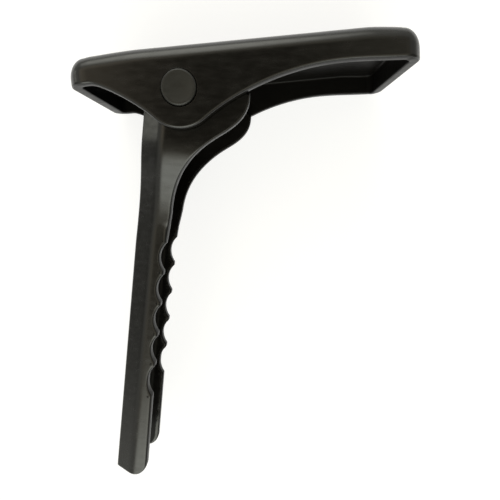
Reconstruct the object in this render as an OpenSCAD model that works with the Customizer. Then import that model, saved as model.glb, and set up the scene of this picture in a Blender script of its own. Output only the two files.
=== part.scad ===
// Hand spring clamp: two channel-section plastic levers on one pivot, pushed
// apart by a torsion spring and squeezed together by hand.
// The pivot axis is the Z axis; z = 0 is the side face that the clamp lies on.
// Each lever is drawn in its own frame (pivot at 0, 0) and then turned.

/* [Stance] */
// Angle of the wide lever above +X
wide_tilt = 5; // [0:0.5:15]
// Angle of the grip lever behind -Y
grip_lean = 7; // [0:0.5:15]
// Travel of the grip lever from fully open to fully closed
close_travel = 34; // [20:1:34]

/* [Wide lever] */
// Overall width across both side walls
width = 45; // [40:0.5:52]
// Wall thickness of both levers
wall = 3; // [2.4:0.1:3.4]
// Pivot axis to the outer face of the long end
front_len = 70.6; // [62:0.1:85]
// Pivot axis to the outer face of the short end
back_len = 32.4; // [30:0.1:38]
// Pivot axis to the outer face of the roof
roof_h = 12.6; // [12.2:0.1:14]
// Radius of the ears round the pivot
ear_r = 11.4; // [10.5:0.1:13]
// Height of the long arm's rim above the pivot axis
rim_h = 3.2; // [2:0.1:4.5]
// Height of the rim at the long end
rim_front_h = 2.3; // [1:0.1:3]
// Height of the rim at the short end
rim_back_h = 3.4; // [2:0.1:4.5]
// Where the long arm's rim levels out
rim_level_x = 48; // [44:1:52]
// Length of the level rim at the short end
rim_back_run = 6.5; // [4:0.5:8]
// Rounding of the long edges of the roof
roof_edge_r = 4.6; // [3.6:0.1:6]
// Rounding of the roof at both ends
roof_end_r = 6.8; // [4:0.1:8]
// How far the roof falls towards both ends
roof_fall = 0.7; // [0.2:0.1:1]
// Where the fall starts, from the short end
roof_fall_back = 22; // [16:1:22]
// Where the fall starts, from the long end
roof_fall_front = 16; // [12:1:30]
// Rounding of the upright corners
corner_r = 5.2; // [4.6:0.1:8]

/* [Grip lever] */
// Pivot axis to the lower end of the grip
grip_len = 133.6; // [125:0.1:150]
// Width of the grip
grip_w = 20.8; // [16:0.1:22]
// Pivot axis to the back of the grip
grip_back = 13.3; // [12.5:0.1:14.5]
// Pivot axis to the back of the head
head_back = 11.7; // [11:0.1:12.4]
// Distance down the lever where the neck ends
neck_len = 41; // [38:0.5:44]
// How far the neck's skin stands proud of the grip's side
neck_step = 0.4; // [0.2:0.1:0.6]
// Radius of the lobes of the head
lobe_r = 20.5; // [19:0.1:22]
// Angle of the bevels between the grip's sides and its back
bevel_a = 32; // [25:1:40]
// How far the bevels draw in the back's width on each side
bevel_drop = 4.1; // [3:0.1:4.4]
// Rounding between the grip's sides and the bevels
grip_edge_r = 5.5; // [4:0.1:6]
// Rounding of the grip's lower corners
grip_corner_r = 5; // [3:0.5:8]

/* [Scallops] */
// Number of scallops in each grip edge
scallops = 5; // [3:1:6]
// Distance between scallops
scallop_pitch = 10.95; // [10:0.05:12]
// Distance down the lever of the first scallop
scallop_start = 52; // [51:0.5:56]
// Depth of a scallop
scallop_depth = 1.9; // [1.2:0.1:2.4]
// Radius of a scallop
scallop_r = 7; // [6.2:0.1:8]
// How far the lowest scallop is drawn out downwards
scallop_stretch = 1.4; // [0:0.1:2]
// Crest line, behind the pivot axis
crest_back = 1.9; // [1:0.1:3]

/* [Pivot] */
// Pivot pin diameter
pin_d = 5; // [4:0.1:6]
// Diameter of the pin's head
pin_head_d = 8; // [7.2:0.1:8.4]
// Thickness of the pin's head
pin_head_t = 0.8; // [0.6:0.1:1]
// Diameter of the pivot caps
cap_d = 10.2; // [9.6:0.1:11]
// How far the head cap stands proud
cap_proud = 0.8; // [0.4:0.1:1.2]
// Depth of the round seats in the side walls
seat_depth = 1.6; // [1.4:0.1:1.8]
// Gap round a cap in its seat
seat_gap = 0.2; // [0.15:0.05:0.3]
// Outer diameter of the retaining ring
ring_d = 7.8; // [7:0.1:8]
// Thickness of the retaining ring
ring_t = 0.4; // [0.3:0.1:0.5]
// Outer diameter of the thrust washers
washer_d = 14; // [11:0.5:17]
// Thickness of the thrust washers
washer_t = 0.5; // [0.4:0.1:0.8]
// Radial clearance of a running fit on the pin
run_gap = 0.05; // [0.03:0.01:0.1]
// Radial clearance of a tight fit on the pin
tight_gap = 0.02; // [0.01:0.01:0.03]
// Axial play between stacked pieces
play = 0.1; // [0.05:0.05:0.2]
// Gap left at the end stops
stop_gap = 0.3; // [0.2:0.05:0.5]

/* [Torsion spring] */
// Wire diameter
wire_d = 2; // [1.6:0.1:2.2]
// Mean diameter of the coil
coil_d = 11.2; // [10.8:0.1:11.6]
// Whole turns of the coil, besides the part turn between its legs
coil_turns = 7; // [4:1:7]
// Pitch of the coil
coil_pitch = 2.6; // [2.45:0.05:2.7]
// Length of the leg along the roof
roof_leg = 27; // [20:1:32]
// Length of the leg down the grip lever's back
back_leg = 21; // [15:1:22]
// Gap between a leg and the face it bears on
leg_gap = 0.1; // [0.05:0.05:0.2]
// Outer diameter of the sleeve inside the coil
sleeve_d = 8; // [7:0.1:8.4]

/* [Hidden] */
$fn = 64;
// An overshoot that keeps cuts from ending on a face
past = 1;
// Steps in each Bezier stretch and in each drawn arc
curve_steps = 10;
arc_steps = 12;
// Levels across the clamp
mid_z = width / 2;
ceiling_h = roof_h - wall;
side_room = washer_t + 2 * play;
lobe_face_z = wall + side_room;
lobe_half = mid_z - lobe_face_z;
sleeve_half = lobe_half - wall - play;
// End stops: the head's top edge meets the ceiling at both ends of the travel
stop_r = ceiling_h - stop_gap;
open_stop_a = 90 + wide_tilt + grip_lean;
close_stop_a = open_stop_a - close_travel;
lobe_top_a = close_stop_a - acos(stop_r / lobe_r);
seat_d = cap_d + 2 * seat_gap;
head_room = 0.1;
cap_pocket_d = pin_head_d + 3 * head_room;
cap_pocket_t = pin_head_t + head_room;
ring_end_t = 0.3;

// Points of a cubic Bezier curve, without its first point
function bezier(a, b, c, d) = [
    for (i = [1:curve_steps])
        let (t = i / curve_steps, s = 1 - t)
            a * s * s * s + b * 3 * s * s * t + c * 3 * s * t * t + d * t * t * t
];
function unit(v) = v / norm(v);
// A point at a radius and an angle, and the direction of travel round a circle there
function polar(r, a) = [r * cos(a), r * sin(a)];
function along(a) = [-sin(a), cos(a)];
// Points of an arc about a centre, both ends included
function arc(centre, r, from, to) = [
    for (i = [0:arc_steps]) centre + polar(r, from + (to - from) * i / arc_steps)
];

// ---- Wide lever, in its own frame: long arm along +X, roof at +Y ----

ear_back_a = 222;
ear_front_a = 305;
ear_back = polar(ear_r, ear_back_a);
ear_front = polar(ear_r, ear_front_a);
back_level = [rim_back_run - back_len, rim_back_h];
front_level = [rim_level_x, rim_h];
front_end = [front_len, rim_front_h];
// How far the rim's curves hold the direction of the line they leave
rim_hold = 6;
front_hold = 10;
level_hold = 18;
end_hold = 8;

// Underside of the side walls, from the short end to the long end
rim_line = concat(
    [[-back_len, rim_back_h], back_level],
    bezier(back_level, back_level + [rim_hold / 2, 0], ear_back - along(ear_back_a) * rim_hold, ear_back),
    arc([0, 0], ear_r, ear_back_a, ear_front_a),
    bezier(ear_front, ear_front + along(ear_front_a) * front_hold,
        front_level - [level_hold, 0], front_level),
    bezier(front_level, front_level + [end_hold, 0], front_end - [end_hold, 0], front_end)
);

// Rounded rectangle from [x0, y0] to [x1, y1]
module rounded_rect(x0, y0, x1, y1, r) {
    translate([x0 + r, y0]) square([x1 - x0 - 2 * r, y1 - y0]);
    translate([x0, y0 + r]) square([x1 - x0, y1 - y0 - 2 * r]);
    for (x = [x0 + r, x1 - r], y = [y0 + r, y1 - r]) translate([x, y]) circle(r);
}

// A corner of the side view, from the end face up to where the roof's fall starts
round_hold = 0.55;
function roof_corner(x_end, way, top, r, run) =
    let (
        slope = 1.2 * roof_fall / (run - r),
        low = [x_end, top - roof_fall - r],
        turn = [x_end + way * r, top - roof_fall],
        level = [x_end + way * run, top],
        third = (run - r) / 3
    )
        concat(
            [low],
            bezier(low, low + [0, r * round_hold], turn - [way, slope] * r * round_hold, turn),
            bezier(turn, turn + [way, slope] * third, level - [way, 0] * third, level)
        );

// Side view with both ends rounded and the roof falling towards them, `inset` inside the outer skin
function side_view(inset, floor_y) =
    let (
        x0 = inset - back_len,
        x1 = front_len - inset,
        top = roof_h - inset,
        r = roof_end_r - inset,
        back = roof_corner(x0, 1, top, r, roof_fall_back - inset),
        front = roof_corner(x1, -1, top, r, roof_fall_front - inset),
        last = len(front) - 1
    )
        concat([[x0, floor_y]], back, [for (k = [last:-1:0]) front[k]], [[x1, floor_y]]);

// Box with rounded roof edges, roof ends and upright corners, `inset` inside the outer skin
module wide_block(inset, floor_y, edge_r) {
    x0 = inset - back_len;
    x1 = front_len - inset;
    top = roof_h - inset;
    z0 = inset;
    z1 = width - inset;
    intersection() {
        translate([0, 0, z0]) linear_extrude(z1 - z0) polygon(side_view(inset, floor_y));
        translate([0, top, 0]) rotate([90, 0, 0])
            linear_extrude(top - floor_y) rounded_rect(x0, z0, x1, z1, corner_r - inset);
        translate([x0, 0, 0]) rotate([90, 0, 90])
            linear_extrude(x1 - x0) rounded_rect(floor_y, z0, top, z1, edge_r);
    }
}

// Block's lower limit, deep enough for its lower roundings to fall below the ears
block_floor = -ear_r - roof_edge_r - past;

module wide_lever() {
    color([0.05, 0.05, 0.045]) rotate(wide_tilt) difference() {
        intersection() {
            wide_block(0, block_floor, roof_edge_r);
            linear_extrude(width) polygon(concat(rim_line, [[front_len, roof_h], [-back_len, roof_h]]));
        }
        wide_block(wall, block_floor - roof_edge_r, side_room);
        translate([0, 0, -past]) cylinder(d = pin_d + 2 * tight_gap, h = width + 2 * past);
        translate([0, 0, -past]) cylinder(d = seat_d, h = seat_depth + past);
        translate([0, 0, width - seat_depth]) cylinder(d = seat_d, h = seat_depth + past);
    }
}

// ---- Grip lever, in its own frame: grip along -Y, open side towards +X ----

lobe_low = polar(lobe_r, 0);
// The shoulder slopes from the lobe to the neck, whose edge then turns straight
shoulder_in = 7.8;
shoulder_down = 11.4;
shoulder_a = 216.5;
shoulder = lobe_low - [shoulder_in, shoulder_down];
neck_edge_out = 0.9;
neck_edge_up = 4;
neck_edge = [neck_edge_out - crest_back, neck_edge_up - neck_len];
// Straight edge below the scallops, behind the pivot axis
edge_back = 1.5;
crest_top = [-crest_back, scallop_pitch / 2 - scallop_start];
crest_end = [-crest_back, -(scallop_start + scallop_pitch * (scallops - 0.4))];
// The head's top edge is cut off where the back of the head meets the open stop
head_top_y = (stop_r + head_back * cos(open_stop_a)) / sin(open_stop_a);
// How far the edge's curves hold the direction of the line they leave
lobe_hold = 4.9;
shoulder_hold = 5.5;
shoulder_sweep = 11.8;
neck_hold = 10.3;

edge_line = concat(
    [[-grip_back - past, head_top_y - tan(open_stop_a - 90) * (grip_back + past - head_back)]],
    arc([0, 0], stop_r, open_stop_a, close_stop_a),
    arc([0, 0], lobe_r, lobe_top_a, 0),
    bezier(lobe_low, lobe_low - [0, lobe_hold], shoulder - polar(shoulder_hold, shoulder_a), shoulder),
    bezier(shoulder, shoulder + polar(shoulder_sweep, shoulder_a), neck_edge + [0, neck_hold], neck_edge),
    [crest_top, crest_end],
    arc([-edge_back - grip_corner_r, grip_corner_r - grip_len], grip_corner_r, 0, -90),
    [[-grip_back - past, -grip_len]]
);

// Half the lever's width down its length: full at the head, drawn in through the neck,
// with a small step where the neck's skin ends
neck_start = 14;
neck_top = [-neck_start, lobe_half];
neck_low = [-neck_len, grip_w / 2 + neck_step];
neck_draw = 8;
neck_ease = [14, 2];
// The back is straight down the head, swings out along the neck and is straight again down the grip
back_swing_end = neck_len + 9;
function back_at(y) =
    let (t = max(0, min(1, (-y - neck_start) / (back_swing_end - neck_start))))
        head_back + (grip_back - head_back) * t * t * (3 - 2 * t);
half_width = concat(
    [[2 * lobe_r, lobe_half], neck_top],
    bezier(neck_top, neck_top - [neck_draw, 0], neck_low + neck_ease, neck_low),
    [[-neck_len - neck_step, grip_w / 2], [-back_swing_end, grip_w / 2], [-grip_len - past, grip_w / 2]]
);

// Distance from the back to where the rounding between a side and its bevel is centred
bend_back = grip_edge_r * sin(bevel_a) + (bevel_drop - grip_edge_r * (1 - cos(bevel_a))) / tan(bevel_a);
// How much the back's flat narrows on each side for each unit of depth under the skin
flat_slip = (1 - sin(bevel_a)) / cos(bevel_a);
bend_steps = 5;

// One section of the lever, `inset` inside the outer skin: open at +X, with bevelled back corners
function half_section(back, half, inset) = concat(
    [[lobe_r + past, half - inset]],
    [for (k = [0:bend_steps]) [bend_back - back, half - grip_edge_r]
        + polar(grip_edge_r - inset, 90 + bevel_a * k / bend_steps)],
    [[inset - back, half - bevel_drop - inset * flat_slip]]
);
function section(back, half, inset) =
    let (near = half_section(back, half, inset), count = len(near))
        concat(near, [for (k = [count - 1:-1:0]) [near[k][0], -near[k][1]]]);

// Skin of the lever through all its sections
module grip_skin(inset) {
    sections = [for (p = half_width) section(back_at(p[0]), p[1], inset)];
    sides = len(sections[0]);
    count = len(sections);
    points = [for (i = [0:count - 1]) each [for (q = sections[i]) [q[0], half_width[i][0], q[1]]]];
    skin = [for (i = [0:count - 2], k = [0:sides - 1])
        let (a = i * sides + k, b = i * sides + (k + 1) % sides)
            each [[a, a + sides, b], [b, a + sides, b + sides]]];
    first_face = [for (k = [0:sides - 1]) k];
    last_face = [for (k = [sides - 1:-1:0]) (count - 1) * sides + k];
    translate([0, 0, mid_z]) polyhedron(points = points, faces = concat([first_face], skin, [last_face]));
}

module scallop_cuts() {
    centres = [for (i = [0:scallops - 1]) scallop_start + i * scallop_pitch];
    for (down = concat(centres, [centres[scallops - 1] + scallop_stretch]))
        translate([scallop_r - crest_back - scallop_depth, -down, -past])
            cylinder(r = scallop_r, h = width + 2 * past);
}

module grip_lever() {
    color([0.06, 0.06, 0.055]) rotate(-grip_lean) difference() {
        intersection() {
            linear_extrude(width) polygon(edge_line);
            grip_skin(0);
        }
        grip_skin(wall);
        scallop_cuts();
        cylinder(d = pin_d + 2 * run_gap, h = width);
    }
}

// ---- Pivot stack ----

module tube(z0, z1, outer, inner) {
    translate([0, 0, z0]) difference() {
        cylinder(d = outer, h = z1 - z0);
        translate([0, 0, -past]) cylinder(d = inner, h = z1 - z0 + 2 * past);
    }
}

pin_head_z = width - seat_depth;
pin_end_z = seat_depth - ring_t - ring_end_t;

module pivot_pin() {
    color([0.75, 0.76, 0.78]) {
        translate([0, 0, pin_end_z]) cylinder(d = pin_d, h = pin_head_z - pin_end_z + pin_head_t / 2);
        translate([0, 0, pin_head_z]) cylinder(d = pin_head_d, h = pin_head_t);
    }
}

// The cap's edge is chamfered where it stands proud
module head_cap() {
    bevel = 0.4;
    top = width + cap_proud;
    color([0.07, 0.07, 0.065]) difference() {
        union() {
            translate([0, 0, pin_head_z]) cylinder(d = cap_d, h = top - bevel - pin_head_z);
            translate([0, 0, top - bevel]) cylinder(d1 = cap_d, d2 = cap_d - 2 * bevel, h = bevel);
        }
        translate([0, 0, pin_head_z - past]) cylinder(d = cap_pocket_d, h = cap_pocket_t + past);
    }
}

module tail_cap() {
    pocket_t = seat_depth - pin_end_z + head_room;
    color([0.07, 0.07, 0.065]) difference() {
        cylinder(d = cap_d, h = seat_depth);
        translate([0, 0, seat_depth - pocket_t]) cylinder(d = cap_pocket_d, h = pocket_t + past);
    }
}

module retaining_ring() {
    color([0.6, 0.6, 0.62]) tube(seat_depth - ring_t, seat_depth, ring_d, pin_d + 2 * tight_gap);
}

module head_washer() {
    z = width - wall - play;
    color([0.88, 0.87, 0.82]) tube(z - washer_t, z, washer_d, pin_d + 2 * run_gap);
}

module tail_washer() {
    z = wall + play;
    color([0.88, 0.87, 0.82]) tube(z, z + washer_t, washer_d, pin_d + 2 * run_gap);
}

module spring_sleeve() {
    color([0.88, 0.87, 0.82])
        tube(mid_z - sleeve_half, mid_z + sleeve_half, sleeve_d, pin_d + 2 * run_gap);
}

// ---- Torsion spring: one unbroken wire, leg, coil, leg ----

coil_r = coil_d / 2;
wire_r = wire_d / 2;
wire_sides = 6;
rings_per_turn = 8;
// Each leg leaves the coil at a tangent and leans until its tip bears on its lever
roof_leg_rise = asin((ceiling_h - leg_gap - wire_r - coil_r) / roof_leg);
roof_leg_a = wide_tilt + roof_leg_rise;
back_reach = back_at(-back_leg) - wall;
back_leg_lean = asin((back_reach - leg_gap - wire_r - coil_r) / back_leg);
back_leg_a = 270 - grip_lean - back_leg_lean;
coil_from = roof_leg_a + 90;
coil_to = back_leg_a - 90 + 360 * coil_turns;
coil_rise = coil_pitch * (coil_to - coil_from) / 360;
coil_z0 = mid_z - coil_rise / 2;
coil_steps = ceil(rings_per_turn * (coil_to - coil_from) / 360);
coil_path = [
    for (i = [0:coil_steps])
        let (s = i / coil_steps, a = coil_from + (coil_to - coil_from) * s)
            [coil_r * cos(a), coil_r * sin(a), coil_z0 + coil_rise * s]
];
first = coil_path[0];
last = coil_path[coil_steps];
roof_way = [cos(roof_leg_a), sin(roof_leg_a), 0];
back_way = [cos(back_leg_a), sin(back_leg_a), 0];
wire_path = concat(
    [first + roof_leg * roof_way, first + wire_d * roof_way],
    coil_path,
    [last + wire_d * back_way, last + back_leg * back_way]
);

function tangent(path, i) = unit(path[min(i + 1, len(path) - 1)] - path[max(i - 1, 0)]);
function ring(path, i) =
    let (t = tangent(path, i), side = unit(cross(t, [0, 0, 1])), up = cross(side, t))
        [for (k = [0:wire_sides - 1]) path[i] + wire_r * (side * cos(360 * k / wire_sides)
            + up * sin(360 * k / wire_sides))];

module wire(path) {
    rings = len(path);
    points = [for (i = [0:rings - 1]) each ring(path, i)];
    start = [for (k = [0:wire_sides - 1]) k];
    finish = [for (k = [wire_sides - 1:-1:0]) (rings - 1) * wire_sides + k];
    skin = [for (i = [0:rings - 2], k = [0:wire_sides - 1])
        let (a = i * wire_sides + k, b = i * wire_sides + (k + 1) % wire_sides)
            each [[a, a + wire_sides, b], [b, a + wire_sides, b + wire_sides]]];
    polyhedron(points = points, faces = concat([start], skin, [finish]));
}

// Least gap of the wire to itself, between points at least half a turn apart
wire_gap = min([
    for (i = [0:len(wire_path) - 1], j = [i + 1:len(wire_path) - 1])
        if (j - i >= rings_per_turn / 2) norm(wire_path[i] - wire_path[j]) - wire_d
]);
echo(wire_gap = wire_gap);

module torsion_spring() {
    color([0.55, 0.56, 0.58]) wire(wire_path);
}

wide_lever();
grip_lever();
pivot_pin();
head_cap();
tail_cap();
retaining_ring();
head_washer();
tail_washer();
spring_sleeve();
torsion_spring();
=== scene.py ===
"""Dresses the hand spring clamp: two moulded channel levers, the capped pivot and its torsion spring."""
import math

import bmesh
import bpy
import numpy as np
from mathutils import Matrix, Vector
from mathutils.geometry import delaunay_2d_cdt


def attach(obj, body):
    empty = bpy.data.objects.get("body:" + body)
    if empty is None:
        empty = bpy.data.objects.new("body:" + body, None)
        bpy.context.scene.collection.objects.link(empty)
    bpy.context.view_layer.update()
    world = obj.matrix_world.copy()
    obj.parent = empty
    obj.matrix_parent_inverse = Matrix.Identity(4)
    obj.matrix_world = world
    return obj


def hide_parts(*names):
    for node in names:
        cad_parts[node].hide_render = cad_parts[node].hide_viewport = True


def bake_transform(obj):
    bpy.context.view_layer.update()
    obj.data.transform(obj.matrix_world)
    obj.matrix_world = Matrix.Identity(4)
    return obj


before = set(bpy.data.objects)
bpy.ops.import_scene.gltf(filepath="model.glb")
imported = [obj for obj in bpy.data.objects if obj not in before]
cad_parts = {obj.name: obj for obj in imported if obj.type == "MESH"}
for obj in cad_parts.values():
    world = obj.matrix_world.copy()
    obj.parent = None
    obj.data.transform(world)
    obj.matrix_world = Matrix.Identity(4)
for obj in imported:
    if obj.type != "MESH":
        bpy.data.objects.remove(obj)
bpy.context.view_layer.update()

MM = 0.001

# ---- Sizes of the clamp in millimetres, the same as the construction's ----

WIDE_TILT = math.radians(5)
GRIP_LEAN = math.radians(7)
WIDTH = 45.0
MID_Z = WIDTH / 2
WALL = 3.0
FRONT_LEN, BACK_LEN = 70.6, 32.4
ROOF_H = 12.6
EAR_R = 11.4
RIM_H, RIM_FRONT_H, RIM_BACK_H = 3.2, 2.3, 3.4
RIM_LEVEL_X, RIM_BACK_RUN = 48.0, 6.5
ROOF_EDGE_R, ROOF_END_R, CORNER_R = 4.6, 6.8, 5.2
ROOF_FALL, ROOF_FALL_BACK, ROOF_FALL_FRONT = 0.7, 22.0, 16.0
EAR_BACK_A, EAR_FRONT_A = math.radians(222), math.radians(305)
CEILING_FILLET = 0.7

GRIP_LEN, GRIP_W = 133.6, 20.8
GRIP_BACK, HEAD_BACK = 13.3, 11.7
NECK_LEN, NECK_STEP = 41.0, 0.4
NECK_START, BACK_SWING_END = 14.0, 50.0
LOBE_R, STOP_R = 20.5, 9.3
BEVEL_A, BEVEL_DROP = math.radians(32), 4.1
GRIP_EDGE_R, GRIP_CORNER_R = 5.5, 5.0
SCALLOPS, SCALLOP_PITCH, SCALLOP_START = 5, 10.95, 52.0
SCALLOP_DEPTH, SCALLOP_R, SCALLOP_STRETCH = 1.9, 7.0, 1.4
CREST_BACK, EDGE_BACK = 1.9, 1.5
LOBE_HALF = 18.8
OPEN_STOP_A, CLOSE_STOP_A = math.radians(102), math.radians(68)

PIN_D, PIN_HEAD_D, PIN_HEAD_T = 5.0, 8.0, 0.8
CAP_D, CAP_PROUD = 10.2, 0.8
SEAT_DEPTH, SEAT_D = 1.6, 10.6
RING_D, RING_T = 7.8, 0.4
WASHER_D, WASHER_T = 14.0, 0.5
PLAY = 0.1
SLEEVE_D = 8.0

WIRE_R, COIL_R = 1.0, 5.6
COIL_TURNS, COIL_PITCH = 7, 2.6
ROOF_LEG, BACK_LEG, LEG_GAP = 27.0, 21.0, 0.1

# Moulders break every free edge with a small radius
RIM_ROUND = 0.4
SIDE_ROUND = 0.8
SEAT_ROUND = 0.2
CREST_ROUND = 1.0
# Where across the sheet the neck's step has faded out, and how far down it eases out there
STEP_FADE, STEP_RUN = 1.0, 5.6
# The long end's rim lies a little lower than the side walls', from this far past the corner's centre,
# over this run
END_RIM_DROP, RIM_DROP_START, RIM_DROP_RUN = 0.2, 1.2, 1.6

# The wide lever's mesh: half the patch that each cap seat is woven into, the least radius that an upright
# corner keeps, the run in which the end's own rounding takes over, and the skins' flat borders
SEAT_PATCH, LEAST_CORNER_R, END_TAKEOVER = 7.2, 0.4, 8.0
ROOF_BORDER, CEILING_BORDER = 0.4, 0.3
# The grip lever's mesh: longest step along its edge, the skin's border beside the rim, and how near a grid
# point may come to that border and to the bore's ring
EDGE_STEP, SKIN_BORDER, CLEAR_OF_BORDER = 0.9, 0.25, 0.45
BORE_RING_R, CLEAR_OF_BORE = 4.0, 0.4
# Room round the pin in the ears and the ring, and in all that turns on it; small breaks of moulded edges
PIN_FIT, PIN_ROOM = 0.02, 0.05
EDGE_BREAK = 0.1
# Room round the pin's head inside each cap
POCKET_ROOM, POCKET_DEPTH_ROOM, RING_END = 0.15, 0.1, 0.3


# ---- Camera ----

camera = bpy.data.objects.new("camera", bpy.data.cameras.new("camera"))
camera.data.lens = 28.8
camera.data.sensor_width = 36
camera.data.clip_start = 0.01
camera.location = (0.0218, -0.0297, 0.165)
camera.rotation_euler = (math.radians(-8.25), math.radians(0.64), 0)
bpy.context.scene.collection.objects.link(camera)
bpy.context.scene.camera = camera


# ---- Materials ----

def linear(code, alpha=1.0):
    """An sRGB hex colour as the linear values that a shader takes."""
    parts = [int(code[i:i + 2], 16) / 255 for i in (1, 3, 5)]
    return [p / 12.92 if p <= 0.04045 else ((p + 0.055) / 1.055) ** 2.4 for p in parts] + [alpha]


def add(tree, kind, links=None, **settings):
    """Adds one shader node: plain settings by property or socket name, links from other nodes' sockets."""
    node = tree.nodes.new(kind)
    for name, value in settings.items():
        if name in node.bl_rna.properties:
            setattr(node, name, value)
        else:
            node.inputs[name.replace("_", " ")].default_value = value
    for socket, source in (links or {}).items():
        tree.links.new(source, node.inputs[socket])
    return node


def new_material(name):
    material = bpy.data.materials.new(name)
    material.use_nodes = True
    tree = material.node_tree
    tree.nodes.clear()
    return material, tree


def moulded_plastic(name, colour, dark, roughness, ripple, shine=0.5):
    """Black injection-moulded nylon or ABS: a mould's polish gives a clear but softened reflection,
    slightly wavy from the shrinking melt, with faint handling marks."""
    material, tree = new_material(name)
    place = add(tree, "ShaderNodeTexCoord").outputs["Object"]
    # The melt's flow leaves a barely lighter and darker cloud about 12 mm across
    cloud = add(tree, "ShaderNodeTexNoise", {"Vector": place}, Scale=1 / (12 * MM), Detail=3.0)
    tint = add(tree, "ShaderNodeMix", {"Factor": cloud.outputs["Fac"]}, data_type="RGBA")
    tint.inputs["A"].default_value = linear(dark)
    tint.inputs["B"].default_value = linear(colour)
    # Handling marks 1.6 mm across and about three times as long along X, with finer ones within them
    stretch = add(tree, "ShaderNodeMapping", {"Vector": place}, Scale=(0.35, 1.0, 1.0))
    marks = add(tree, "ShaderNodeTexNoise", {"Vector": stretch.outputs["Vector"]},
                Scale=1 / (1.6 * MM), Detail=6.0)
    rough = add(tree, "ShaderNodeMapRange", {"Value": marks.outputs["Fac"]}, From_Min=0.3, From_Max=0.7)
    rough.inputs["To Min"].default_value = roughness - 0.05
    rough.inputs["To Max"].default_value = roughness + 0.07
    # Shrinkage waves about 6 mm long and the spark-eroded mould's fine skin, 0.25 mm
    waves = add(tree, "ShaderNodeTexNoise", {"Vector": place}, Scale=1 / (6 * MM), Detail=1.0)
    skin = add(tree, "ShaderNodeTexNoise", {"Vector": place}, Scale=1 / (0.25 * MM), Detail=2.0)
    low = add(tree, "ShaderNodeBump", {"Height": waves.outputs["Fac"]}, Strength=1.0, Distance=ripple)
    fine = add(tree, "ShaderNodeBump", {"Height": skin.outputs["Fac"], "Normal": low.outputs["Normal"]},
               Strength=0.25, Distance=0.004 * MM)
    # shine scales the reflection; turned far down, it paints shade on the faces that carry this material
    shader = add(tree, "ShaderNodeBsdfPrincipled", {
        "Base Color": tint.outputs["Result"],
        "Roughness": rough.outputs["Result"],
        "Normal": fine.outputs["Normal"],
    }, IOR=1.52, Specular_IOR_Level=shine)
    add(tree, "ShaderNodeOutputMaterial", {"Surface": shader.outputs["BSDF"]})
    return material


def natural_nylon():
    """Unfilled nylon 6 as moulded: milky cream, slightly see-through, a soft shine."""
    material, tree = new_material("natural_nylon")
    place = add(tree, "ShaderNodeTexCoord").outputs["Object"]
    cloud = add(tree, "ShaderNodeTexNoise", {"Vector": place}, Scale=1 / (4 * MM), Detail=3.0)
    tint = add(tree, "ShaderNodeMix", {"Factor": cloud.outputs["Fac"]}, data_type="RGBA")
    tint.inputs["A"].default_value = linear("#cfc8b4")
    tint.inputs["B"].default_value = linear("#e2ddcc")
    skin = add(tree, "ShaderNodeTexNoise", {"Vector": place}, Scale=1 / (0.3 * MM), Detail=2.0)
    bump = add(tree, "ShaderNodeBump", {"Height": skin.outputs["Fac"]}, Strength=0.4, Distance=0.01 * MM)
    shader = add(tree, "ShaderNodeBsdfPrincipled", {
        "Base Color": tint.outputs["Result"],
        "Normal": bump.outputs["Normal"],
    }, IOR=1.53, Roughness=0.42)
    shader.inputs["Subsurface Weight"].default_value = 0.15
    shader.inputs["Subsurface Scale"].default_value = 0.6 * MM
    add(tree, "ShaderNodeOutputMaterial", {"Surface": shader.outputs["BSDF"]})
    return material


def metal(name, colour, dark, roughness, grain):
    """A metal surface with an even fine grain of a real size, in millimetres."""
    material, tree = new_material(name)
    place = add(tree, "ShaderNodeTexCoord").outputs["Object"]
    specks = add(tree, "ShaderNodeTexNoise", {"Vector": place}, Scale=1 / (grain * MM), Detail=4.0)
    tint = add(tree, "ShaderNodeMix", {"Factor": specks.outputs["Fac"]}, data_type="RGBA")
    tint.inputs["A"].default_value = linear(dark)
    tint.inputs["B"].default_value = linear(colour)
    rough = add(tree, "ShaderNodeMapRange", {"Value": specks.outputs["Fac"]}, From_Min=0.3, From_Max=0.7)
    rough.inputs["To Min"].default_value = roughness - 0.06
    rough.inputs["To Max"].default_value = roughness + 0.1
    bump = add(tree, "ShaderNodeBump", {"Height": specks.outputs["Fac"]}, Strength=0.5, Distance=0.01 * MM)
    shader = add(tree, "ShaderNodeBsdfPrincipled", {
        "Base Color": tint.outputs["Result"],
        "Roughness": rough.outputs["Result"],
        "Normal": bump.outputs["Normal"],
    }, Metallic=1.0)
    add(tree, "ShaderNodeOutputMaterial", {"Surface": shader.outputs["BSDF"]})
    return material


lever_plastic = moulded_plastic("glossy_black_abs", "#0e0d0b", "#0a0908", 0.22, 0.02 * MM)
# The mould's core and parting faces aren't polished, so the inside and the rims keep a duller, softer shine.
# Their reflection is also turned far down, which paints shade on the inside and the rims.
dull_shading_plastic = moulded_plastic("duller_black_abs_painted_shade", "#0e0d0b", "#0a0908", 0.34, 0.01 * MM, 0.1)
cap_plastic = moulded_plastic("satin_black_abs", "#1a1a16", "#151512", 0.4, 0.01 * MM)
nylon = natural_nylon()
# Zinc plating: bluish white, a fine crystalline grain
zinc_plate = metal("zinc_plated_steel", "#c9ccd0", "#b3b6ba", 0.3, 0.5)
# Drawn spring wire: grey and fairly bright, with a fine even grain
spring_wire = metal("drawn_spring_steel", "#a9a9a6", "#86867f", 0.28, 0.4)


# ---- Mesh helpers ----

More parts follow.
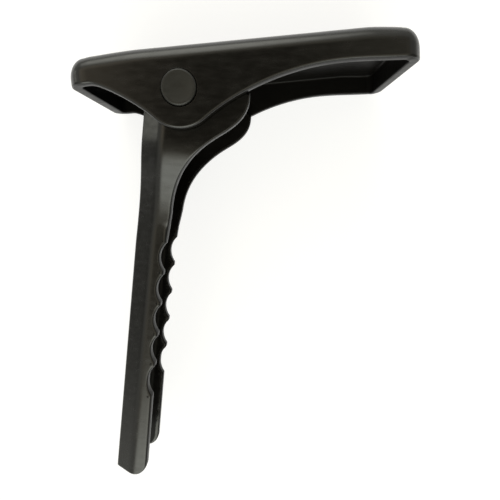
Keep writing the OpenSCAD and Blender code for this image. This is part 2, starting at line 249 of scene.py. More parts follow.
def piece(name, points, faces, material, body, shade_painted_faces=(), shade_material=None):
    """One named piece from points in millimetres, smooth shaded, riding on its body.
    The faces listed take the second material, whose weak reflection paints shade on them."""
    mesh = bpy.data.meshes.new(name)
    mesh.from_pydata([tuple(c * MM for c in p) for p in points], [], faces)
    for k in shade_painted_faces:
        mesh.polygons[k].material_index = 1
    work = bmesh.new()
    work.from_mesh(mesh)
    bmesh.ops.remove_doubles(work, verts=work.verts, dist=0.002 * MM)
    bmesh.ops.recalc_face_normals(work, faces=work.faces)
    for face in work.faces:
        face.smooth = True
    work.to_mesh(mesh)
    work.free()
    mesh.materials.append(material)
    if shade_material:
        mesh.materials.append(shade_material)
    made = bpy.data.objects.new(name, mesh)
    bpy.context.scene.collection.objects.link(made)
    if body:
        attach(made, body)
    return made


def turned(x, y, angle):
    """A point turned about the pivot axis."""
    return x * math.cos(angle) - y * math.sin(angle), x * math.sin(angle) + y * math.cos(angle)


def polar(radius, angle):
    return np.array([radius * math.cos(angle), radius * math.sin(angle)])


def along(angle):
    return np.array([-math.sin(angle), math.cos(angle)])


def bezier(a, b, c, d, steps):
    """Points of a cubic curve, without its first."""
    a, b, c, d = (np.array(p, float) for p in (a, b, c, d))
    return [a * (1 - t) ** 3 + b * 3 * (1 - t) ** 2 * t + c * 3 * (1 - t) * t * t + d * t ** 3
            for t in (k / steps for k in range(1, steps + 1))]


def arc(centre, radius, start, end, steps):
    return [np.array(centre) + polar(radius, start + (end - start) * k / steps) for k in range(steps + 1)]


def smooth(share):
    """Eases from 0 to 1."""
    share = max(0.0, min(1.0, share))
    return share * share * (3 - 2 * share)


def quarter(steps):
    """Share of a rounding's radius lost along and across, from its first face to its second."""
    return [(1 - math.cos(a), 1 - math.sin(a)) for a in (math.pi / 2 * k / steps for k in range(steps + 1))]


# ---- Wide lever ----

def rim_points():
    """Underside of the side walls from the short end's level run to the long end."""
    back_level = np.array([RIM_BACK_RUN - BACK_LEN, RIM_BACK_H])
    ear_back, ear_front = polar(EAR_R, EAR_BACK_A), polar(EAR_R, EAR_FRONT_A)
    front_level = np.array([RIM_LEVEL_X, RIM_H])
    front_end = np.array([FRONT_LEN, RIM_FRONT_H])
    line = [np.array([-BACK_LEN, RIM_BACK_H]), back_level]
    line += bezier(back_level, back_level + [3, 0], ear_back - along(EAR_BACK_A) * 6, ear_back, 30)
    line += arc((0, 0), EAR_R, EAR_BACK_A, EAR_FRONT_A, 40)[1:]
    line += bezier(ear_front, ear_front + along(EAR_FRONT_A) * 10, front_level - [18, 0], front_level, 50)
    line += bezier(front_level, front_level + [8, 0], front_end - [8, 0], front_end, 24)
    return np.array(line)


def end_curve(run):
    """The roof's end as (distance in from the end, drop below the top): its fall, then its rounding."""
    slope, hold = 1.2 * ROOF_FALL / (run - ROOF_END_R), 0.55 * ROOF_END_R
    turn, low = np.array([ROOF_END_R, ROOF_FALL]), np.array([0, ROOF_FALL + ROOF_END_R])
    level, third = np.array([run, 0.0]), (run - ROOF_END_R) / 3
    fall = [level] + bezier(level, level - [third, 0], turn + [third, -slope * third], turn, 24)
    rounding = [turn] + bezier(turn, turn + [-hold, slope * hold], low - [0, hold], low, 10)
    return np.array(fall), np.array(rounding)


def roof_drop(x):
    """How far the roof's skin lies below its top at x."""
    drop = 0.0
    for run, past in ((ROOF_FALL_BACK, x + BACK_LEN), (ROOF_FALL_FRONT, FRONT_LEN - x)):
        fall, rounding = end_curve(run)
        line = np.concatenate([fall, rounding[1:]])[::-1]
        drop += float(np.interp(past, line[:, 0], line[:, 1], right=0.0))
    return drop


def wide_lever():
    """The channel as rings of columns round its plan: down the outside, round the rim and up the inside."""
    rim = rim_points()
    slope = np.gradient(rim, axis=0)
    slope /= np.linalg.norm(slope, axis=1)[:, None]

    def rim_at(x):
        y = np.interp(x, rim[:, 0], rim[:, 1])
        tx, ty = np.interp(x, rim[:, 0], slope[:, 0]), np.interp(x, rim[:, 0], slope[:, 1])
        size = math.hypot(tx, ty)
        return y, -ty / size, tx / size

    # Each column: a centre and an outward direction in plan, how far it is on the way from a side wall (0)
    # through the corner's end (1) to the end wall's middle (2), and its side wall's name
    left, right = CORNER_R - BACK_LEN, FRONT_LEN - CORNER_R
    low, high = CORNER_R, WIDTH - CORNER_R
    side_x = [x for x in rim[:, 0] if left < x < right]
    side_x = sorted(set([left, right] + [x for k, x in enumerate(side_x) if k % 2 == 0]))
    end_z = np.linspace(low, high, 19)
    end_columns = [(z, 1 + smooth(min(z - low, high - z) / END_TAKEOVER)) for z in end_z]
    columns = []
    corner_steps = 12

    def corner(cx, cz, start, from_end):
        for k in range(1, corner_steps):
            share = k / corner_steps
            a = start + math.pi / 2 * share
            columns.append((cx, cz, math.cos(a), math.sin(a), smooth(1 - share if from_end else share), ""))

    for x in side_x:
        columns.append((x, low, 0, -1, 0, "far"))
    corner(right, low, -math.pi / 2, False)
    for z, turn in end_columns:
        columns.append((right, z, 1, 0, turn, ""))
    corner(right, high, 0, True)
    for x in reversed(side_x):
        columns.append((x, high, 0, 1, 0, "near"))
    corner(left, high, math.pi / 2, False)
    for z, turn in reversed(end_columns):
        columns.append((left, z, -1, 0, turn, ""))
    corner(left, low, math.pi, True)

    # Shares down a wall, and the rows between which the cap's seat is woven in
    wall_rows = [0, 0.05, 0.2, 0.35, 0.5, 0.65, 0.78, 0.88, 0.95, 1]
    block = (1, 7)
    grid, names = [], []
    mid_x, half_x = (left + right) / 2, (right - left) / 2
    for cx, cz, nx, nz, turn, side in columns:
        def at(inset, y, shift=0.0):
            # Past the upright corners' own radius, they keep a small radius and move in along the lever
            reach = max(CORNER_R - inset, LEAST_CORNER_R)
            x = mid_x + (cx - mid_x) * (half_x - (inset - CORNER_R + reach)) / half_x
            return x + nx * reach + shift, y, cz + nz * reach

        plan_x = cx + nx * CORNER_R
        rim_y, up_x, up_y = rim_at(plan_x)
        rim_y -= END_RIM_DROP * smooth((plan_x - right - RIM_DROP_START) / RIM_DROP_RUN)
        if not side:
            up_x, up_y = 0.0, 1.0
        outer_r = RIM_ROUND + (SIDE_ROUND - RIM_ROUND) * abs(nz)
        foot_x, foot_y = up_x * outer_r, rim_y + up_y * outer_r
        side_top = ROOF_H - roof_drop(cx)
        end_round = end_curve(ROOF_FALL_FRONT if nx > 0 else ROOF_FALL_BACK)[1]
        # At the corner the rounding runs in as far as the corner's own centre, and no further
        corner_share, end_share = min(1.0, turn), max(0.0, turn - 1)
        reach_in = ROOF_EDGE_R + (CORNER_R - ROOF_EDGE_R) * corner_share
        end_down = side_top - ROOF_H + ROOF_FALL + ROOF_END_R
        down = ROOF_EDGE_R + (end_down - ROOF_EDGE_R) * corner_share
        rows = []
        for (lost, gained), (end_in, end_drop) in zip(quarter(10), end_round):
            inset = reach_in * gained * (1 - end_share) + end_in * end_share
            y = (side_top - down * lost) * (1 - end_share) + (ROOF_H - end_drop) * end_share
            rows.append((inset, y))
        top = rows[-1][1]
        first = at(rows[0][0] + ROOF_BORDER, 0)
        rows = [(first[0], ROOF_H - roof_drop(first[0]), first[2])] + [at(inset, y) for inset, y in rows]
        first_wall = len(rows) - 1
        for share in wall_rows[1:]:
            rows.append(at(0, top + (foot_y - top) * share, foot_x * share))
        for lost, gained in quarter(5)[1:]:
            rows.append(at(outer_r * lost, rim_y + up_y * outer_r * gained, up_x * outer_r * gained))
        rows.append(at((outer_r + WALL - RIM_ROUND) / 2, rim_y))
        for gained, lost in reversed(quarter(5)):
            raised = RIM_ROUND * lost
            rows.append(at(WALL - RIM_ROUND * gained, rim_y + up_y * raised, up_x * raised))
        foot_x, foot_y = up_x * RIM_ROUND, rim_y + up_y * RIM_ROUND
        ceiling = ROOF_H - WALL - min(roof_drop(cx), ROOF_FALL)
        inner_top = ceiling - CEILING_FILLET
        first_inner = len(rows) - 1
        for share in reversed(wall_rows[:-1]):
            rows.append(at(WALL, inner_top + (foot_y - inner_top) * share, foot_x * share))
        for lost, gained in quarter(4)[1:]:
            rows.append(at(WALL + CEILING_FILLET * lost, ceiling - CEILING_FILLET * gained))
        rows.append(at(WALL + CEILING_FILLET + CEILING_BORDER, ceiling))
        grid.append(rows)
        names.append(side)

    count, depth = len(grid), len(grid[0])
    points = [p for rows in grid for p in rows]
    faces, shade_painted_faces = [], []
    last_inner = first_inner + len(wall_rows) - 1
    # From this row on, the faces are the mould's parting and core faces, which take the duller material that
    # paints shade on them
    rim_first = first_wall + len(wall_rows) - 1 + 4
    holes = {}
    for side in ("far", "near"):
        inside = [i for i in range(count) if names[i] == side and abs(columns[i][0]) < SEAT_PATCH]
        holes[side] = (min(inside), max(inside))

    def in_block(i, k, side):
        first, last = holes[side]
        if not first <= i < last:
            return False
        outer = first_wall + block[0] <= k < first_wall + block[1]
        inner = last_inner - block[1] <= k < last_inner - block[0]
        return outer or inner

    for i in range(count):
        j = (i + 1) % count
        for k in range(depth - 1):
            if not (in_block(i, k, "far") or in_block(i, k, "near")):
                if k >= rim_first:
                    shade_painted_faces.append(len(faces))
                faces.append((i * depth + k, j * depth + k, j * depth + k + 1, i * depth + k + 1))
    # Roof and ceiling: strips from side wall to side wall, and one face at each end
    sides = len(side_x)
    far_first, near_first = 0, names.index("near")
    inner_reach = ROOF_END_R + 1.0
    across = [k for k in range(sides)
              if inner_reach < side_x[k] + BACK_LEN and inner_reach < FRONT_LEN - side_x[k]]
    # The ceiling's faces take the duller material, a painted shade inside the channel
    for level in (0, depth - 1):
        turned_over = level > 0

        def strip(loop):
            corners = [i % count * depth + level for i in loop]
            if turned_over:
                shade_painted_faces.append(len(faces))
            faces.append(corners[::-1] if turned_over else corners)

        for k in across[:-1]:
            opposite = near_first + sides - 1 - k
            strip([far_first + k, far_first + k + 1, opposite - 1, opposite])
        strip(range(far_first + across[-1], near_first + sides - across[-1]))
        strip(range(near_first + sides - 1 - across[0], count + far_first + across[0] + 1))

    # The cap's round seat and the pin's bore, woven into each side wall
    for side, face_z, inward in (("far", 0.0, 1.0), ("near", WIDTH, -1.0)):
        first, last = holes[side]

        def loop(k0, k1):
            step = 1 if k1 > k0 else -1
            there = [(i, k0) for i in range(first, last)] + [(last, k) for k in range(k0, k1, step)]
            back = [(i, k1) for i in range(last, first, -1)] + [(first, k) for k in range(k1, k0, -step)]
            return there + back

        outer_loop = loop(first_wall + block[0], first_wall + block[1])
        inner_edge = loop(last_inner - block[0], last_inner - block[1])
        angles = [math.atan2(grid[i][k][1], grid[i][k][0]) for i, k in outer_loop]
        seat_r, bore_r = SEAT_D / 2, PIN_D / 2 + PIN_FIT
        profile = [(seat_r + SEAT_ROUND + 0.15, 0.0)]
        profile += [(seat_r + SEAT_ROUND * gained, SEAT_ROUND * lost) for lost, gained in quarter(4)]
        profile += [(seat_r, SEAT_DEPTH - EDGE_BREAK), (seat_r - EDGE_BREAK, SEAT_DEPTH)]
        profile += [(bore_r + EDGE_BREAK, SEAT_DEPTH), (bore_r, SEAT_DEPTH + EDGE_BREAK)]
        profile += [(bore_r, WALL - EDGE_BREAK), (bore_r + EDGE_BREAK, WALL), (bore_r + 0.8, WALL)]
        previous = [i * depth + k for i, k in outer_loop]
        for radius, down in profile:
            ring = []
            for a in angles:
                ring.append(len(points))
                points.append((radius * math.cos(a), radius * math.sin(a), face_z + inward * down))
            for n in range(len(ring)):
                m = (n + 1) % len(ring)
                faces.append((previous[n], previous[m], ring[m], ring[n]))
            previous = ring
        inner_loop = [i * depth + k for i, k in inner_edge]
        for n in range(len(inner_loop)):
            m = (n + 1) % len(inner_loop)
            faces.append((previous[n], previous[m], inner_loop[m], inner_loop[n]))

    points = [(*turned(x, y, WIDE_TILT), z) for x, y, z in points]
    made = piece("wide_lever_moulding", points, faces, lever_plastic, "wide",
                 shade_painted_faces, dull_shading_plastic)
    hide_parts("wide_lever")


# ---- Grip lever ----

def filleted(line, corners):
    """The line with each listed corner (index, radius) cut to a rounding."""
    out = []
    for k, p in enumerate(line):
        if k not in corners:
            out.append(p)
            continue
        radius = corners[k]
        before, after = line[k - 1] - p, line[(k + 1) % len(line)] - p
        a, b = before / np.linalg.norm(before), after / np.linalg.norm(after)
        half = math.acos(max(-1, min(1, float(a @ b)))) / 2
        cut = min(radius / math.tan(half), 0.49 * np.linalg.norm(before), 0.49 * np.linalg.norm(after))
        radius = cut * math.tan(half)
        centre = p + (a + b) / np.linalg.norm(a + b) * radius / math.sin(half)
        start, end = p + a * cut - centre, p + b * cut - centre
        sweep = math.pi - 2 * half
        turn = math.copysign(1, start[0] * end[1] - start[1] * end[0])
        steps = 6
        first = math.atan2(start[1], start[0])
        out += [centre + polar(radius, first + turn * sweep * s / steps) for s in range(steps + 1)]
    return out


def half_width_line():
    """Half the lever's width down its length, as CAD has it."""
    neck_top, neck_low = np.array([-NECK_START, LOBE_HALF]), np.array([-NECK_LEN, GRIP_W / 2 + NECK_STEP])
    line = [np.array([2 * LOBE_R, LOBE_HALF]), neck_top]
    line += bezier(neck_top, neck_top - [8, 0], neck_low + [14, 2], neck_low, 60)
    line += [np.array([-NECK_LEN - NECK_STEP, GRIP_W / 2]), np.array([-GRIP_LEN - 5, GRIP_W / 2])]
    return np.array(line)[::-1]


WIDTHS = half_width_line()


def half_at(y, s):
    """Half the width. The neck's step shows at the free edge and fades out towards the back's rounding."""
    stepped = float(np.interp(y, WIDTHS[:, 0], WIDTHS[:, 1]))
    if -y < NECK_LEN:
        return stepped
    eased = GRIP_W / 2 + NECK_STEP * max(0, 1 + (y + NECK_LEN) / STEP_RUN) ** 2
    near = smooth((s - STEP_FADE) / 3)
    return stepped * near + eased * (1 - near)


def back_at(y):
    """Distance back to the spine: straight down the head, out along the neck, and straight down the grip."""
    return HEAD_BACK + (GRIP_BACK - HEAD_BACK) * smooth((-y - NECK_START) / (BACK_SWING_END - NECK_START))


# The section runs from the side through a rounding, a bevel and a tight corner to the back's flat.
# Its developed widths, and the distance from the back to where the rounding is centred:
BEND_RUN = GRIP_EDGE_R * BEVEL_A
BEVEL_FALL = BEVEL_DROP - GRIP_EDGE_R * (1 - math.cos(BEVEL_A))
BEVEL_RUN = BEVEL_FALL / math.sin(BEVEL_A)
BEND_BACK = GRIP_EDGE_R * math.sin(BEVEL_A) + BEVEL_FALL / math.tan(BEVEL_A)
FLAT_RUN = 6.0
BACK_CORNER = 0.5
SPINE = -BEND_RUN - BEVEL_RUN - FLAT_RUN


def skin_point(s, y, depth):
    """A point of the lever's sheet: s across from the rounding's start, y along, depth under the skin."""
    back = back_at(y)
    half = half_at(y, s)
    centre_x, centre_z = BEND_BACK - back, half - GRIP_EDGE_R
    if s >= 0:
        return centre_x + s, y, half - depth
    radius = GRIP_EDGE_R - depth
    turn = min(BEVEL_A, -s / GRIP_EDGE_R)
    x, z = centre_x - radius * math.sin(turn), centre_z + radius * math.cos(turn)
    if s >= -BEND_RUN:
        return x, y, z
    corner = np.array([depth - back, half - BEVEL_DROP - depth * (1 - math.sin(BEVEL_A)) / math.cos(BEVEL_A)])
    way = np.array([math.cos(BEVEL_A), math.sin(BEVEL_A)])
    before = corner + way * BACK_CORNER
    after = corner - [0, BACK_CORNER]
    along_bevel = (-s - BEND_RUN) / (BEVEL_RUN - BACK_CORNER)
    if along_bevel <= 1:
        start = np.array([x, z])
        x, z = start + (before - start) * along_bevel
        return x, y, z
    past = (-s - BEND_RUN - BEVEL_RUN + BACK_CORNER) / (2 * BACK_CORNER)
    if past <= 1:
        x, z = before * (1 - past) ** 2 + corner * 2 * past * (1 - past) + after * past ** 2
        return x, y, z
    return after[0], y, after[1] * (s - SPINE) / (FLAT_RUN - BACK_CORNER)


def sheet_across(s):
    """Distance across the sheet: the same as across the lever, and a little more on the rounding."""
    return s if s >= 0 else -GRIP_EDGE_R * math.asin(min(1.0, -s / GRIP_EDGE_R))


def grip_outline():
    """The sheet's edge in (s, y), from the spine's top round the lobe and the scallops to the spine's foot,
    and the radius that its outer edge is broken to at each point."""
    lobe_low = polar(LOBE_R, 0)
    shoulder = lobe_low - [7.8, 11.4]
    shoulder_way = polar(1, math.radians(216.5))
    neck_edge = np.array([0.9 - CREST_BACK, 4 - NECK_LEN])
    lobe_top_a = CLOSE_STOP_A - math.acos(STOP_R / LOBE_R)
    top_y = (STOP_R + HEAD_BACK * math.cos(OPEN_STOP_A)) / math.sin(OPEN_STOP_A)
    rise = math.tan(OPEN_STOP_A - math.pi / 2)

    line = arc((0, 0), STOP_R, OPEN_STOP_A, CLOSE_STOP_A, 12)
    corners = {len(line): 1.2}
    line += arc((0, 0), LOBE_R, lobe_top_a, 0, 16)
    line += bezier(lobe_low, lobe_low - [0, 4.9], shoulder - shoulder_way * 5.5, shoulder, 18)
    line += bezier(shoulder, shoulder + shoulder_way * 11.8, neck_edge + [0, 10.3], neck_edge, 40)
    half_chord = math.sqrt(SCALLOP_R ** 2 - (SCALLOP_R - SCALLOP_DEPTH) ** 2)
    open_a = math.asin(half_chord / SCALLOP_R)
    corners[len(line)] = 3.0
    line.append(np.array([-CREST_BACK, SCALLOP_PITCH / 2 - SCALLOP_START]))
    for k in range(SCALLOPS):
        centre = (SCALLOP_R - CREST_BACK - SCALLOP_DEPTH, -SCALLOP_START - k * SCALLOP_PITCH)
        ring = arc(centre, SCALLOP_R, math.pi - open_a, math.pi + open_a, 14)
        if k == SCALLOPS - 1:
            ring = ring[:8] + [p - [0, SCALLOP_STRETCH] for p in ring[7:]]
        corners[len(line)] = CREST_ROUND
        corners[len(line) + len(ring) - 1] = CREST_ROUND
        line += ring
    foot = (-EDGE_BACK - GRIP_CORNER_R, GRIP_CORNER_R - GRIP_LEN)
    line += arc(foot, GRIP_CORNER_R, 0, -math.pi / 2, 12)
    line = filleted(line, corners)

    # From (x, y) to the developed sheet, with the back's rounding, bevel and flat added at both ends
    sheet = [np.array([sheet_across(x + back_at(y) - BEND_BACK), y]) for x, y in line]
    turns = [0.0, 0.2, 0.4, 0.6, 0.8, 1.0]
    across = [-BEND_RUN * t for t in turns] + [-BEND_RUN - BEVEL_RUN * t for t in (0.3, 0.6, 0.9)]
    across += [SPINE + FLAT_RUN * t for t in (0.8, 0.4, 0.0)]
    head = [np.array([s, top_y + rise * (skin_point(s, top_y, 0)[0] + HEAD_BACK)]) for s in reversed(across)]
    tail = [np.array([s, -GRIP_LEN]) for s in across if s < sheet[-1][0] - 0.2]
    edge = spaced(head + sheet + tail, EDGE_STEP)
    return edge, np.array([edge_round(s, y) for s, y in edge])


def edge_round(s, y):
    """Radius of the outer edge: tight round the lobe, wider down the neck and grip, less within a scallop."""
    if s < 0:
        return 0.5
    x = s + BEND_BACK - back_at(y)
    below_neck = smooth((-y - NECK_LEN - NECK_STEP) / 1.5)
    size = 0.5 + 0.4 * smooth((-y - 14) / 14) + 0.5 * below_neck - 0.3 * smooth((-y - NECK_LEN - 3) / 4)
    if -y > SCALLOP_START - 4:
        size -= 0.35 * smooth((-CREST_BACK - x) / SCALLOP_DEPTH)
    return size - 0.4 * smooth((-y - GRIP_LEN + GRIP_CORNER_R) / GRIP_CORNER_R)


def spaced(line, step):
    """The line with no stretch longer than step."""
    out = [line[0]]
    for a, b in zip(line[:-1], line[1:]):
        parts = max(1, math.ceil(np.linalg.norm(b - a) / step))
        out += [a + (b - a) * k / parts for k in range(1, parts + 1)]
    return np.array(out)


def grip_lever():
    """The sheet is cut to its outline, meshed once and laid on both skins, with a rounded rim between."""
    edge, rounds = grip_outline()
    run = np.gradient(edge, axis=0)
    run /= np.linalg.norm(run, axis=1)[:, None]
    inward = np.stack([run[:, 1], -run[:, 0]], axis=1)
    inward[0], inward[-1] = (0, -1), (0, 1)
    count = len(edge)

    # The mesh's inner boundary, closed along the spine
    border = edge + inward * (rounds + SKIN_BORDER)[:, None]
    # Rows of points: 1 mm apart down the neck, close at its step, then 1.5 mm apart down the grip
    stations = [-3.0 - k for k in range(0, 38)] + [-40.9, -41.0, -41.1, -41.2, -41.3, -41.4, -41.5]
    stations += [-42.5 - 1.5 * k for k in range(0, 63)] + [5.0, 3.0, 1.0, -1.0]
    stations = sorted({round(y, 3) for y in stations if border[-1][1] + 0.5 < y < border[0][1] - 0.5})
    spine = [np.array([SPINE, y]) for y in stations]
    ring = [tuple(p) for p in border] + [tuple(p) for p in spine]
    ring_edges = [(k, (k + 1) % len(ring)) for k in range(len(ring))]
    across = [SPINE + (FLAT_RUN - BACK_CORNER) * k / 4 for k in range(1, 5)]
    across += [SPINE + FLAT_RUN + BACK_CORNER * k for k in (-0.5, 0, 0.5, 1, 1.5)]
    across += [-BEND_RUN - BEVEL_RUN * (1 - k / 5) + BACK_CORNER for k in range(1, 5)]
    across += [-BEND_RUN * (1 - k / 6) for k in range(0, 7)]
    across += [0.5, 1.0] + [1.0 + 1.2 * k for k in range(1, 28)]

    around = [2 * math.pi * k / 40 for k in range(40)]
    hole = [(BORE_RING_R * math.cos(a) + back_at(0) - BEND_BACK, BORE_RING_R * math.sin(a)) for a in around]
    outline = np.array(ring)

    def inside(s, y):
        nxt = np.roll(outline, -1, axis=0)
        crosses = (outline[:, 1] > y) != (nxt[:, 1] > y)
        with np.errstate(divide="ignore", invalid="ignore"):
            across_by = (y - outline[:, 1]) * (nxt[:, 0] - outline[:, 0])
            at = outline[:, 0] + across_by / (nxt[:, 1] - outline[:, 1])
        if (crosses & (at > s)).sum() % 2 == 0:
            return False
        if np.hypot(outline[:, 0] - s, outline[:, 1] - y).min() < CLEAR_OF_BORDER:
            return False
        return math.hypot(s + BEND_BACK - back_at(0), y) > BORE_RING_R + CLEAR_OF_BORE

    grid = [(s, y) for y in stations for s in across if inside(s, y)]
    plane = ring + hole + grid
    base = len(ring)
    edges = ring_edges + [(base + k, base + (k + 1) % len(hole)) for k in range(len(hole))]
    found = delaunay_2d_cdt([tuple(map(float, p)) for p in plane], edges, [], 1, 1e-6)
    flat, triangles = found[0], found[2]
    where = {}
    for k, sources in enumerate(found[3]):
        for source in sources:
            where[source] = k

    def at_hole(tri):
        s, y = (sum(flat[k][n] for k in tri) / 3 for n in (0, 1))
        return math.hypot(s + BEND_BACK - back_at(0), y) < BORE_RING_R - 0.05

    triangles = [t for t in triangles if not at_hole(t)]
    points = [skin_point(p[0], p[1], 0.0) for p in flat] + [skin_point(p[0], p[1], WALL) for p in flat]
    size = len(flat)
    faces = [tuple(t) for t in triangles] + [tuple(size + k for k in reversed(t)) for t in triangles]
    # The inner skin takes the duller material, whose weak reflection paints shade inside the lever
    shade_painted_faces = list(range(len(triangles), len(faces)))

    # The rim, from the outer skin's border round to the inner skin's
    # Each row: shares of the outer edge's radius and of the inner edge's across the sheet and down into it
    profile = [(gained, 0, lost, 0) for lost, gained in quarter(6)]
    profile += [(0, 0, 1, 0.5), (0, 0, 0, -1)]
    profile += [(0, gained, 0, -lost) for lost, gained in reversed(quarter(4)[:-1])]
    previous = [where[k] for k in range(count)]
    for step, (outer_in, inner_in, outer_down, inner_down) in enumerate(profile):
        row = []
        for p, n, radius in zip(edge, inward, rounds):
            row.append(len(points))
            s, y = p + n * (radius * outer_in + RIM_ROUND * inner_in)
            depth = radius * outer_down * 0.85
            if inner_down < 0 or inner_in:
                depth = WALL + RIM_ROUND * inner_down
            elif inner_down > 0:
                depth = (depth + WALL - RIM_ROUND) / 2
            points.append(skin_point(s, y, depth))
        for k in range(count - 1):
            # Past the outer rounding, the rim takes the duller material too, a painted shade
            if step > 5:
                shade_painted_faces.append(len(faces))
            faces.append((previous[k], previous[k + 1], row[k + 1], row[k]))
        previous = row
    last = [size + where[k] for k in range(count)]
    for k in range(count - 1):
        faces.append((previous[k], previous[k + 1], last[k + 1], last[k]))

    # The pin's bore
    bore_r = PIN_D / 2 + PIN_ROOM
    previous = [where[base + k] for k in range(len(hole))]
    for radius, depth in ((bore_r + 0.35, 0.0), (bore_r + 0.1, 0.05), (bore_r, 0.3), (bore_r, WALL - 0.3),
                          (bore_r + 0.1, WALL - 0.05), (bore_r + 0.35, WALL)):
        row = []
        for a in around:
            row.append(len(points))
            points.append((radius * math.cos(a), radius * math.sin(a), LOBE_HALF - depth))
        for k in range(len(hole)):
            m = (k + 1) % len(hole)
            faces.append((previous[k], previous[m], row[m], row[k]))
        previous = row
    last = [size + where[base + k] for k in range(len(hole))]
    for k in range(len(hole)):
        m = (k + 1) % len(hole)
        faces.append((previous[k], previous[m], last[m], last[k]))

    total = len(points)
    points += [(x, y, -z) for x, y, z in points]
    shade_painted_faces += [len(faces) + k for k in shade_painted_faces]
    faces += [tuple(total + k for k in reversed(face)) for face in faces]
    points = [(*turned(x, y, -GRIP_LEAN), z + MID_Z) for x, y, z in points]
    made = piece("grip_lever_moulding", points, faces, lever_plastic, "grip",
                 shade_painted_faces, dull_shading_plastic)
    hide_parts("grip_lever")


# ---- Pivot stack and spring ----

def lathe(name, profile, material, body, node, steps=96):
    """A turned or moulded round from its (radius, z) profile, closed on itself or on the axis."""
    points, rows = [], []
    for radius, z in profile:
        if radius < 1e-6:
            rows.append([len(points)] * steps)
            points.append((0.0, 0.0, z))
        else:
            rows.append(list(range(len(points), len(points) + steps)))
            points += [(radius * math.cos(a), radius * math.sin(a), z)
                       for a in (2 * math.pi * k / steps for k in range(steps))]
    closed = profile[0][0] > 1e-6
    pairs = list(zip(rows, rows[1:] + rows[:1] if closed else rows[1:]))
    faces = []
    for a, b in pairs:
        for k in range(steps):
            m = (k + 1) % steps
            corners = []
            for v in (a[k], a[m], b[m], b[k]):
                if v not in corners:
                    corners.append(v)
            faces.append(corners)
    made = piece(name, points, faces, material, body)
    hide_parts(node)


def rounded_profile(corners, radius, steps=4):
    """The (radius, z) profile with its corners broken, and a support ring beside each rounding."""
    line = [np.array(c, float) for c in corners]
    out = []
    for k, p in enumerate(line):
        before, after = line[k - 1] - p, line[(k + 1) % len(line)] - p
        if p[0] < 1e-6:  # on the axis
            out.append(p)
            continue
        a, b = before / np.linalg.norm(before), after / np.linalg.norm(after)
        cut = min(radius, 0.4 * np.linalg.norm(before), 0.4 * np.linalg.norm(after))
        out.append(p + a * cut * 1.2)
        for s in range(steps + 1):
            t = s / steps
            out.append((p + a * cut) * (1 - t) ** 2 + p * 2 * t * (1 - t) + (p + b * cut) * t * t)
        out.append(p + b * cut * 1.2)
    return [(float(r), float(z)) for r, z in out]


def pivot_stack():
    """Caps, pin, ring, washers and sleeve, each turned from its own profile."""
    head_z = WIDTH - SEAT_DEPTH
    top = WIDTH + CAP_PROUD
    cap_r, crown_r = CAP_D / 2, 0.55
    pocket_r, pocket_t = PIN_HEAD_D / 2 + POCKET_ROOM, PIN_HEAD_T + POCKET_DEPTH_ROOM
    # Cap over the pin's head: a crowned rim, a barely sunken face
    cap = [(0, top - 0.12), (cap_r - 1.6, top - 0.1), (cap_r - 1.1, top - 0.02), (cap_r - 0.7, top)]
    cap += [(cap_r - crown_r * gained, top - crown_r * lost) for gained, lost in
            ((1 - math.sin(a), 1 - math.cos(a)) for a in (math.pi / 2 * k / 6 for k in range(7)))]
    cap += [(cap_r, top - 0.8), (cap_r, head_z + 0.1), (cap_r - 0.05, head_z), (pocket_r + 0.05, head_z),
            (pocket_r, head_z + 0.05), (pocket_r, head_z + pocket_t - 0.05),
            (pocket_r - 0.05, head_z + pocket_t), (0, head_z + pocket_t)]
    lathe("head_cap_moulding", cap, cap_plastic, "wide", "head_cap")

    # Cap over the pin's end, flush with the side that the clamp lies on
    pin_end = SEAT_DEPTH - RING_T - RING_END
    pocket_z = pin_end - POCKET_DEPTH_ROOM
    tail = [(0, 0), (cap_r - 0.4, 0), (cap_r - 0.25, 0.02), (cap_r - 0.08, 0.1), (cap_r, 0.3),
            (cap_r, 0.5), (cap_r, SEAT_DEPTH), (cap_r - 0.05, SEAT_DEPTH), (pocket_r + 0.02, SEAT_DEPTH),
            (pocket_r, SEAT_DEPTH - 0.02), (pocket_r, pocket_z + 0.05), (pocket_r - 0.05, pocket_z),
            (0, pocket_z)]
    lathe("tail_cap_moulding", tail, cap_plastic, "wide", "tail_cap")

    pin_r = PIN_D / 2
    pin = rounded_profile([(0, pin_end), (pin_r, pin_end), (pin_r, head_z), (PIN_HEAD_D / 2, head_z),
                           (PIN_HEAD_D / 2, head_z + PIN_HEAD_T), (0, head_z + PIN_HEAD_T)], 0.2)
    lathe("pivot_pin_steel", pin, zinc_plate, "wide", "pivot_pin")

    def flat_ring(name, z0, z1, outer, inner, material, node):
        profile = rounded_profile([(inner, z0), (outer, z0), (outer, z1), (inner, z1)], 0.12)
        lathe(name, profile, material, "wide", node)

    flat_ring("retaining_ring_steel", SEAT_DEPTH - RING_T, SEAT_DEPTH, RING_D / 2, pin_r + PIN_FIT,
              zinc_plate, "retaining_ring")
    bore = pin_r + PIN_ROOM
    z = WIDTH - WALL - PLAY
    flat_ring("head_washer_nylon", z - WASHER_T, z, WASHER_D / 2, bore, nylon, "head_washer")
    z = WALL + PLAY
    flat_ring("tail_washer_nylon", z, z + WASHER_T, WASHER_D / 2, bore, nylon, "tail_washer")
    half = LOBE_HALF - WALL - PLAY
    flat_ring("spring_sleeve_nylon", MID_Z - half, MID_Z + half, SLEEVE_D / 2, bore,
              nylon, "spring_sleeve")


